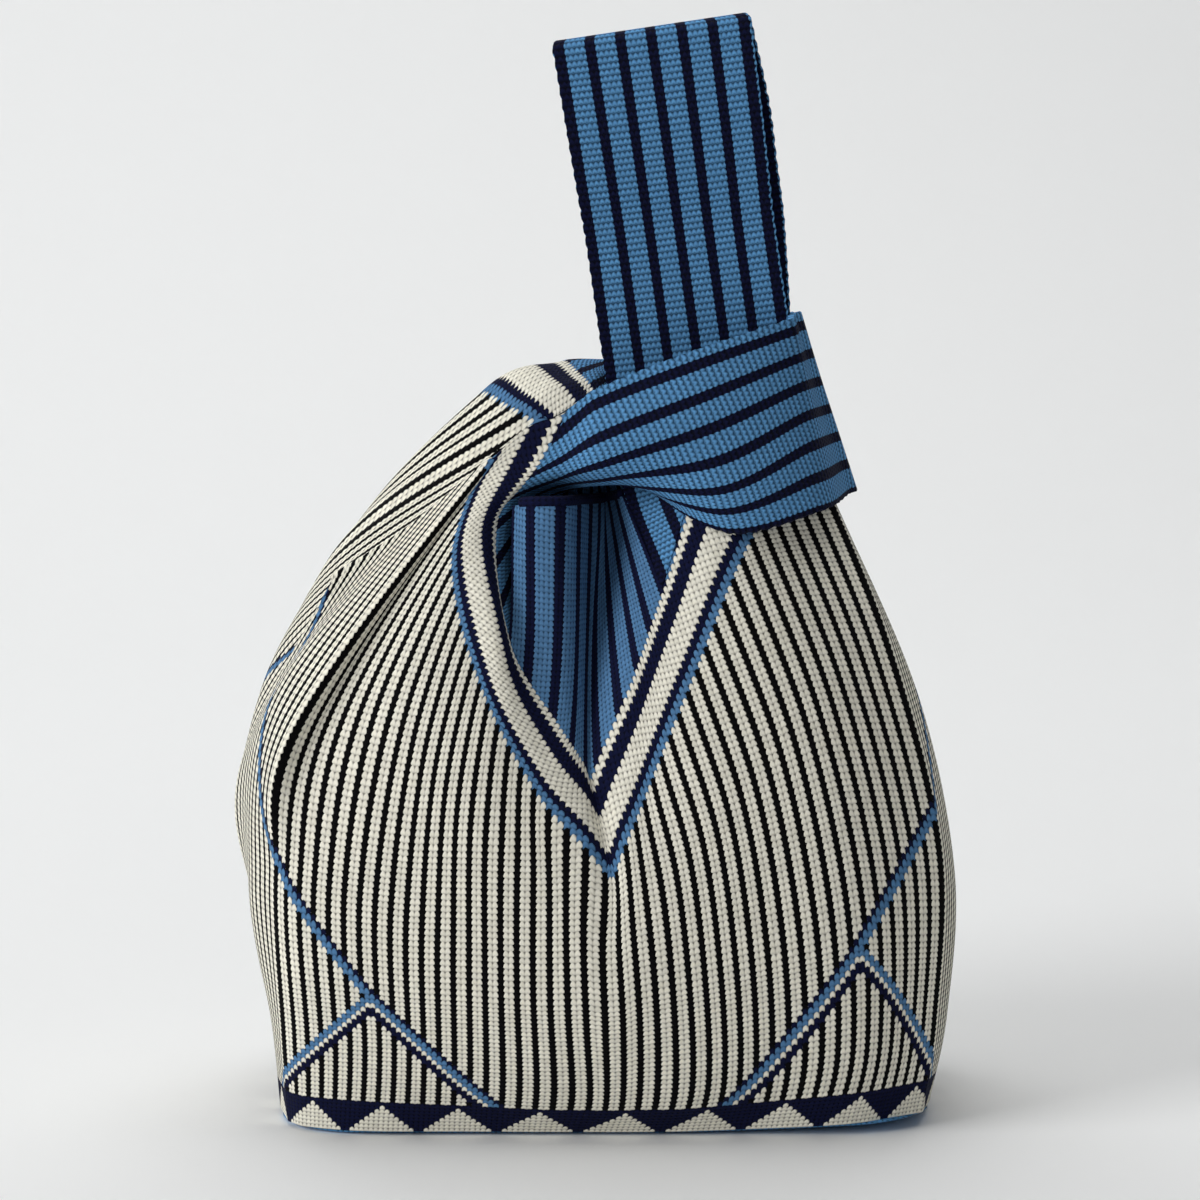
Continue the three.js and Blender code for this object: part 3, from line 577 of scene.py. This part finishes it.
def base_cloth(name, material):
    """The flat knitted base, with a soft edge that turns up inside the wall."""
    shares = np.concatenate([np.linspace(-1, 1, 121)[:-1], np.linspace(1, 3, 121)])
    profile = [(0, 0), (0.5, 0), (0.9, 0), (0.985, 0.2), (1, 0.5), (0.985, 0.8), (0.9, 1), (0.5, 1), (0, 1)]

    def edge(share):
        if share <= 1:
            return np.array(base_outline(share, BASE_INSET))
        return -np.array(base_outline(share - 2, BASE_INSET))

    ring = np.array([edge(share) for share in shares])
    points = np.array([[
        (x * s, y * s, BASE_THICKNESS * h + corner_lift(x * s, y * s)) for s, h in profile
    ] for x, y in ring])
    bm = bmesh.new()
    add_region(bm, points, points[:, :, :2] / WALE)
    bmesh.ops.remove_doubles(bm, verts=bm.verts, dist=0.01)
    bmesh.ops.recalc_face_normals(bm, faces=bm.faces)
    return new_piece(name, bm, material)


class Field:
    """A value that changes over the cloth: a node socket that can be reckoned with."""

    def __init__(self, tree, socket):
        self.tree = tree
        self.socket = socket

    def reckon(self, operation, *others):
        node = self.tree.nodes.new("ShaderNodeMath")
        node.operation = operation
        for slot, value in zip(node.inputs, (self, *others)):
            if isinstance(value, Field):
                self.tree.links.new(value.socket, slot)
            else:
                slot.default_value = value
        return Field(self.tree, node.outputs[0])

    def __add__(self, other):
        return self.reckon("ADD", other)

    def __sub__(self, other):
        return self.reckon("SUBTRACT", other)

    def __mul__(self, other):
        return self.reckon("MULTIPLY", other)

    def floor(self):
        return self.reckon("FLOOR")

    def within(self, period):
        return self.reckon("FLOORED_MODULO", period)

    def size(self):
        return self.reckon("ABSOLUTE")

    def wave(self):
        return self.reckon("SINE")

    def power(self, exponent):
        return self.reckon("POWER", exponent)

    def below(self, other):
        return self.reckon("LESS_THAN", other)

    def above(self, other):
        return self.reckon("GREATER_THAN", other)

    def lower(self, other):
        return self.reckon("MINIMUM", other)

    def higher(self, other):
        return self.reckon("MAXIMUM", other)

    def between(self, low, high):
        """1 from low up to high, taken half a count early so that whole numbers fall on the right side."""
        return self.above(low - 0.5) * self.below(high - 0.5)

    def inverse(self):
        return self.reckon("MULTIPLY_ADD", -1, 1)

    def chance(self, other):
        """A random value from 0 to 1 for each stitch."""
        place = self.tree.nodes.new("ShaderNodeCombineXYZ")
        noise = self.tree.nodes.new("ShaderNodeTexWhiteNoise")
        noise.noise_dimensions = "2D"
        for axis, field in (("X", self), ("Y", other)):
            self.tree.links.new(field.floor().socket, place.inputs[axis])
        self.tree.links.new(place.outputs["Vector"], noise.inputs["Vector"])
        return Field(self.tree, noise.outputs["Value"])


def stitch_group(name, outputs, build):
    """A node group that reads a wale and a course number; build returns a Field for each output."""
    tree = bpy.data.node_groups.new(name, "ShaderNodeTree")
    for label in ("Wale", "Course"):
        tree.interface.new_socket(label, in_out="INPUT", socket_type="NodeSocketFloat")
    for label in outputs:
        tree.interface.new_socket(label, in_out="OUTPUT", socket_type="NodeSocketFloat")
    inside = tree.nodes.new("NodeGroupInput")
    outside = tree.nodes.new("NodeGroupOutput")
    counts = [Field(tree, inside.outputs[label]) for label in ("Wale", "Course")]
    for label, field in build(*counts).items():
        tree.links.new(field.socket, outside.inputs[label])
    return tree


def drawn_course(wale, course):
    """The course number, bent into the V that each stitch is drawn into."""
    return course + (wale.within(1) - 0.5).size() * STITCH_V


def stitch_relief(wale, course):
    """A bead for each stitch, with painted shade in the pit where four of them meet; no two stitches are
    quite alike.
    """
    row = drawn_course(wale, course)
    x = ((wale.within(1) - 0.5).size() * 2).power(3)
    y = ((row.within(1) - 0.5).size() * 2).power(2.5)
    chance = wale.chance(course)
    pit = x * y * (chance * 0.5 + 0.6)
    bead = (pit + x * 0.22 + y * 0.28).inverse().higher(0)
    # Shade is painted shade on the pits and bead edges, plus a random tone for each stitch
    return {"Height": bead, "Shade": bead.power(1.5) * 0.74 + chance * 0.16 + 0.18}


def brick_relief(wale, course):
    """Handle cloth: rows of small Vs, each row set half a stitch aside, with painted shade in the gaps
    between the rows.
    """
    shifted = wale + course.floor().within(2) * 0.5
    row = drawn_course(shifted, course)
    x = ((shifted.within(1) - 0.5).size() * 2).power(2)
    y = ((row.within(1) - 0.5).size() * 2).power(2)
    chance = shifted.chance(row)
    bead = (y * (chance * 0.4 + 0.5) + x * 0.24).inverse().higher(0)
    # Shade is painted shade in the gaps, plus a random tone for each stitch
    return {"Height": bead, "Shade": bead.power(1.7) * 0.9 + chance * 0.16 + 0.04}


def stripe(wale, period, width, course, bulge=0.3, narrowing=0.29):
    """1 on a stripe that starts at each whole period; its edges bulge at each stitch."""
    place = (wale + (period - width) / 2).within(period) - period / 2
    reach = (drawn_course(wale, course) * math.pi).wave().size() * bulge + (width / 2 - narrowing)
    return place.size().below(reach)


def body_pattern(wale, course):
    """Striped body with diagonal lines and tents, a hem of triangles, the V border and a striped yoke."""
    side = wale.size()
    wale_step = side.floor()
    course_step = drawn_course(wale, course).floor()
    border = course_step - wale_step - TIP_COURSES
    on_body = border.below(-0.5)
    on_yoke = border.above(BORDER_COURSES - 0.5)
    above_hem = course_step.above(HEM_COURSES - 0.5)

    line = course_step - wale_step + LINE_DROP
    leg = course_step + wale_step - TENT_SUM
    tent_edge = line.higher(leg)
    under_line = line.below(-1.5)
    line_blue = line.between(-1, 1)
    line_navy = line.between(1, 2)
    leg_blue = leg.between(-1, 1) * under_line
    tent_cream = tent_edge.between(-2, -1)
    tent_navy = tent_edge.between(-4, -2)

    tooth = (wale - TRIANGLE_SHIFT + TRIANGLE_PERIOD * 0.5).floor().within(TRIANGLE_PERIOD)
    tooth = tooth - (TRIANGLE_PERIOD - 1) * 0.5
    triangle = (tooth.size() + course_step).below(TRIANGLE_COURSES - 0.5) * course_step.above(-0.5)

    striped = stripe(side + 1, *BODY_STRIPE, course) * (line_navy.higher(tent_navy)).inverse()
    cream = striped.higher(tent_cream) * on_body * above_hem
    cream = cream.higher(triangle).higher(border.between(*BORDER_CREAM))
    cream = cream.higher(border.between(BORDER_EDGE, BORDER_COURSES))
    blue = (line_blue.higher(leg_blue) * above_hem * on_body).higher(border.between(*BORDER_BLUE))
    blue = blue.higher(stripe(side + 2, *BLUE_STRIPE, course) * on_yoke)
    navy = border.above(-0.5).higher(above_hem.inverse()).higher(line_navy).higher(tent_navy)
    return {"Navy": navy, "Cream": cream, "Blue": blue}


def strap_pattern(wale, course):
    """Blue stripes on navy, with navy along both edges."""
    return {"Blue": stripe(wale - 2, *BLUE_STRIPE, course, STRAP_BULGE, STRAP_NARROWING)}


STITCH_RELIEF = stitch_group("stitch_relief", ["Height", "Shade"], stitch_relief)
BRICK_RELIEF = stitch_group("brick_relief", ["Height", "Shade"], brick_relief)
BODY_PATTERN = stitch_group("body_pattern", ["Navy", "Cream", "Blue"], body_pattern)
STRAP_PATTERN = stitch_group("strap_pattern", ["Blue"], strap_pattern)


def knit_material(name, ground, pattern=None, yarns=(), stitches=STITCH_RELIEF):
    """Knitted cloth: the ground yarn, with each mask of the pattern group laying another yarn over it, and
    painted shade between the stitches.
    """
    material = bpy.data.materials.new(name)
    material.use_nodes = True
    tree = material.node_tree
    shader = tree.nodes["Principled BSDF"]
    shader.inputs["Roughness"].default_value = 0.92
    shader.inputs["Specular IOR Level"].default_value = 0.1
    shader.inputs["Sheen Weight"].default_value = 0.01
    shader.inputs["Sheen Roughness"].default_value = 0.5
    uv = tree.nodes.new("ShaderNodeUVMap")
    uv.uv_map = "stitches"
    split = tree.nodes.new("ShaderNodeSeparateXYZ")
    tree.links.new(uv.outputs["UV"], split.inputs["Vector"])

    def place(group):
        node = tree.nodes.new("ShaderNodeGroup")
        node.node_tree = group
        tree.links.new(split.outputs["X"], node.inputs["Wale"])
        tree.links.new(split.outputs["Y"], node.inputs["Course"])
        return node

    def mix(kind, factor, a, b):
        node = tree.nodes.new("ShaderNodeMix")
        node.data_type = "RGBA"
        node.blend_type = kind
        for socket, value in ((node.inputs["Factor"], factor), (node.inputs["A"], a), (node.inputs["B"], b)):
            if isinstance(value, bpy.types.NodeSocket):
                tree.links.new(value, socket)
            else:
                socket.default_value = value
        return node.outputs["Result"]

    colour = linear(ground)
    if pattern:
        drawn = place(pattern)
        for label, yarn in yarns:
            colour = mix("MIX", drawn.outputs[label], colour, linear(yarn))
    relief = place(stitches)
    # The relief's Shade darkens the colour: painted shade between the stitches, with each stitch's own tone
    colour = mix("MULTIPLY", 1.0, colour, relief.outputs["Shade"])
    speck = tree.nodes.new("ShaderNodeTexNoise")
    speck.inputs["Scale"].default_value = 900
    speck.inputs["Detail"].default_value = 2
    where = tree.nodes.new("ShaderNodeTexCoord")
    tree.links.new(where.outputs["Object"], speck.inputs["Vector"])
    colour = mix("OVERLAY", 0.22, colour, speck.outputs["Fac"])
    tree.links.new(colour, shader.inputs["Base Color"])
    bump = tree.nodes.new("ShaderNodeBump")
    bump.inputs["Strength"].default_value = 0.7
    bump.inputs["Distance"].default_value = 0.5 * MM
    tree.links.new(relief.outputs["Height"], bump.inputs["Height"])
    tree.links.new(bump.outputs["Normal"], shader.inputs["Normal"])
    return material


wall_yarns = [("Navy", NAVY), ("Cream", CREAM), ("Blue", WALL_BLUE)]
body_knit = knit_material("body_knit", BLACK, BODY_PATTERN, wall_yarns)
strap_knit = knit_material("strap_knit", NAVY, STRAP_PATTERN, [("Blue", BLUE)], BRICK_RELIEF)
navy_knit = knit_material("navy_knit", NAVY)
blue_knit = knit_material("blue_knit", BLUE)

# The bag's own pieces
for label, panel in (("front", front), ("back", back)):
    cloth = panel_cloth(f"{label}_cloth", panel, body_knit)
    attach(cloth, "bag")
    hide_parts(*[f"{label}_{part}" for part in ("hem_band", "panel", "neck_band", "yoke")])
    mouth_us = np.linspace(-STRAP_INNER + MOUTH_HEM_END, STRAP_INNER - MOUTH_HEM_END, 60)
    hem_line = panel.mouth_at(mouth_us) + [0, 0, MOUTH_HEM_RADIUS * 0.5]
    hem = rolled_edge(f"{label}_hem_roll", hem_line, MOUTH_HEM_RADIUS, navy_knit)
    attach(hem, "bag")
    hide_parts(f"{label}_mouth_hem")

base = base_cloth("base_cloth", blue_knit)
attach(base, "bag")
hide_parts("base_panel")

seam_line = []
for facing in (1, -1):
    for share in np.linspace(-1, 1, 61)[:-1]:
        x, y = base_outline(share, SEAM_INSET)
        x, y = facing * x, facing * y
        seam_line.append((x, y, BASE_THICKNESS + SEAM_RADIUS + corner_lift(x, y)))
base_seam = rolled_edge("base_seam_ridge", seam_line, SEAM_RADIUS, navy_knit, closed=True)
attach(base_seam, "bag")
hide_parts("base_seam")

for label, u in (("left", -PANEL_HALF), ("right", PANEL_HALF)):
    inward = -math.copysign(CLOTH / 2 + SEAM_RADIUS, u)
    line = front.at(np.array([u - 1e-6, u]), np.linspace(*SIDE_SEAM_ROWS, 60))[1] + [inward, 0, 0]
    seam = rolled_edge(f"{label}_seam_ridge", line, SEAM_RADIUS, navy_knit)
    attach(seam, "bag")
    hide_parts(f"{label}_side_seam")

# The handles
short_us = even(-STRAP_OUTER, -STRAP_INNER)
short_strap = strap_cloth("short_handle", short_stations(short_us), short_us, strap_knit, SHORT_STRIPE_SHIFT)
on_strap(SHORT_BLEND_ACROSS[0], 0, 0) * MM
on_strap(SHORT_BLEND_ACROSS[1], 0, 0) * MM
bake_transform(short_strap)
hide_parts("short_handle_front_root", "short_handle_back_root", "short_handle_loop")

long_us = even(STRAP_INNER, STRAP_OUTER)
long_strap = strap_cloth("long_handle_strap", long_stations(long_us), long_us, strap_knit)
on_strap(STRAP_WIDTH / 2, 0, HINGE_RISE - LONG_BLEND_HALF) * MM
on_strap(STRAP_WIDTH / 2, 0, HINGE_RISE + LONG_BLEND_HALF) * MM
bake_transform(long_strap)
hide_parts("long_handle_front_root", "long_handle_back_root", "long_handle_loop")


# Studio, in metres: a pale sweep, soft lamps and the camera
SWEEP_FRONT = -2.5
SWEEP_FOOT = 1.1
SWEEP_BEND = 0.6
SWEEP_HEIGHT = 4
SWEEP_HALF = 4


def studio_sweep():
    """A floor that bends up into a back wall."""
    profile = [(SWEEP_FRONT, 0), (0, 0), (SWEEP_FOOT, 0)]
    for turn in np.linspace(0.2, math.pi / 2, 12):
        profile.append((SWEEP_FOOT + SWEEP_BEND * math.sin(turn), SWEEP_BEND - SWEEP_BEND * math.cos(turn)))
    profile.append((SWEEP_FOOT + SWEEP_BEND, SWEEP_HEIGHT))
    points = np.array([[(x, y, z) for y, z in profile] for x in (-SWEEP_HALF, SWEEP_HALF)]) / MM
    bm = bmesh.new()
    add_region(bm, points, np.zeros(points.shape[:2] + (2,)))
    material = bpy.data.materials.new("studio_paper")
    material.use_nodes = True
    shader = material.node_tree.nodes["Principled BSDF"]
    shader.inputs["Base Color"].default_value = linear(PAPER)
    shader.inputs["Roughness"].default_value = 0.9
    return new_piece("floor", bm, material)


studio_sweep()


def soft_lamp(name, place, aim, size, power):
    """A square lamp at a place, turned to face its aim; its power is in watts."""
    light = bpy.data.lights.new(name, "AREA")
    light.size = size
    light.energy = power
    lamp = bpy.data.objects.new(name, light)
    lamp.location = place
    direction = np.array(aim) - np.array(place)
    lamp.rotation_euler = (
        math.atan2(math.hypot(direction[0], direction[1]), -direction[2]), 0,
        math.atan2(direction[0], -direction[1]) + math.pi,
    )
    bpy.context.scene.collection.objects.link(lamp)


soft_lamp("key_lamp", (-2.4, -1.3, 1.2), (0, 0, 0.15), 1.5, 54)
soft_lamp("fill_lamp", (0.6, -2.2, 0.9), (0, 0, 0.15), 1.6, 3.2)
soft_lamp("back_lamp", (0.0, 0.7, 2.2), (0, 0.4, 0), 2.2, 29)

world = bpy.data.worlds.new("studio")
bpy.context.scene.world = world
world.use_nodes = True
glow = world.node_tree.nodes["Background"]
glow.inputs["Color"].default_value = (1, 1, 1, 1)
glow.inputs["Strength"].default_value = 0.1
seen = world.node_tree.nodes.new("ShaderNodeBackground")
seen.inputs["Color"].default_value = linear(PAPER)
rays = world.node_tree.nodes.new("ShaderNodeLightPath")
choice = world.node_tree.nodes.new("ShaderNodeMixShader")
for source, socket in (
    (rays.outputs["Is Camera Ray"], choice.inputs["Fac"]),
    (glow.outputs["Background"], choice.inputs[1]),
    (seen.outputs["Background"], choice.inputs[2]),
    (choice.outputs["Shader"], world.node_tree.nodes["World Output"].inputs["Surface"]),
):
    world.node_tree.links.new(source, socket)

CAMERA_DISTANCE = 1.25
CAMERA_TILT = math.radians(7)
CAMERA_AIM = (-0.00165, 0, 0.166)
CAMERA_LENS = 113.6
CAMERA_SENSOR = 36
camera_data = bpy.data.cameras.new("camera")
camera_data.sensor_width = CAMERA_SENSOR
camera_data.lens = CAMERA_LENS
camera = bpy.data.objects.new("camera", camera_data)
camera.location = (
    CAMERA_AIM[0],
    CAMERA_AIM[1] - CAMERA_DISTANCE * math.cos(CAMERA_TILT),
    CAMERA_AIM[2] + CAMERA_DISTANCE * math.sin(CAMERA_TILT),
)
camera.rotation_euler = (math.pi / 2 - CAMERA_TILT, 0, 0)
bpy.context.scene.collection.objects.link(camera)
bpy.context.scene.camera = camera
bpy.context.scene.view_settings.view_transform = "Standard"
